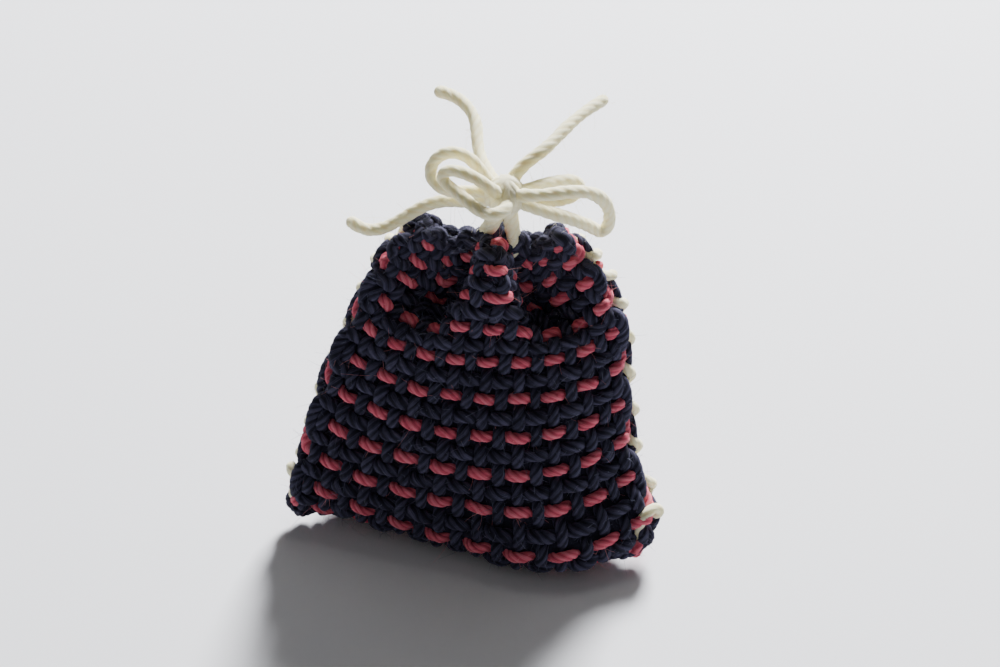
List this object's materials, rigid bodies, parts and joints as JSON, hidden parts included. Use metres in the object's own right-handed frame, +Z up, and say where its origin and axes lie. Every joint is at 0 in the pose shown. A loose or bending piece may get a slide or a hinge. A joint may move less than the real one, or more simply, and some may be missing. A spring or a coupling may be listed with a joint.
{
  "type": "drawstring dice bag",
  "caption": "Small hand-woven wool drawstring pouch for gaming dice, laced up its sides, its gathered mouth tied with a doubled cord in a bow.",
  "frame": {"origin": "on the table, under the middle of the closed bag without the bow's free loops and ends", "axes": "+Z up, the front with the bow towards -Y, +X to the right seen from the front"},
  "size_m": [0.0782, 0.0578, 0.0771],
  "materials": {
    "woven_cloth": "plain-woven wool, navy warp with rows of coral weft",
    "lacing": "plied cream wool yarn",
    "drawstring": "plied cream wool yarn"
  },
  "bodies": {
    "bag": {"front_panel": "woven_cloth", "back_panel": "woven_cloth", "left_lacing": "lacing", "right_lacing": "lacing", "neck_strand_upper": "drawstring", "neck_strand_lower": "drawstring", "bow_knot": "drawstring"},
    "left_loops": {"loop_left_upper": "drawstring", "loop_left_lower": "drawstring"},
    "right_loops": {"loop_right_upper": "drawstring", "loop_right_lower": "drawstring"},
    "left_back_end": {"end_left_back": "drawstring"},
    "left_side_end": {"end_left_side": "drawstring"},
    "right_back_end": {"end_right_back": "drawstring"},
    "back_end": {"end_back": "drawstring"}
  },
  "joints": [
    {"name": "left_loops_swing", "type": "hinge", "parent": "bag", "child": "left_loops", "pos_m": [0.004, 0.0072, 0.0695], "axis": [0, 0, 1], "range_deg": [-8, 18]},
    {"name": "right_loops_swing", "type": "hinge", "parent": "bag", "child": "right_loops", "pos_m": [0.004, 0.0072, 0.0695], "axis": [0, 0, 1], "range_deg": [-18, 10]},
    {"name": "left_back_end_swing", "type": "hinge", "parent": "bag", "child": "left_back_end", "pos_m": [0.004, 0.0072, 0.0695], "axis": [0, 0, 1], "range_deg": [-10, 8]},
    {"name": "left_side_end_swing", "type": "hinge", "parent": "bag", "child": "left_side_end", "pos_m": [0.004, 0.0072, 0.0695], "axis": [0, 0, 1], "range_deg": [-20, 5]},
    {"name": "right_back_end_swing", "type": "hinge", "parent": "bag", "child": "right_back_end", "pos_m": [0.004, 0.0072, 0.0695], "axis": [0, 0, 1], "range_deg": [-15, 10]},
    {"name": "back_end_lift", "type": "hinge", "parent": "bag", "child": "back_end", "pos_m": [0.004, 0.0072, 0.0695], "axis": [1, 0, 0], "range_deg": [0, 14]}
  ]
}
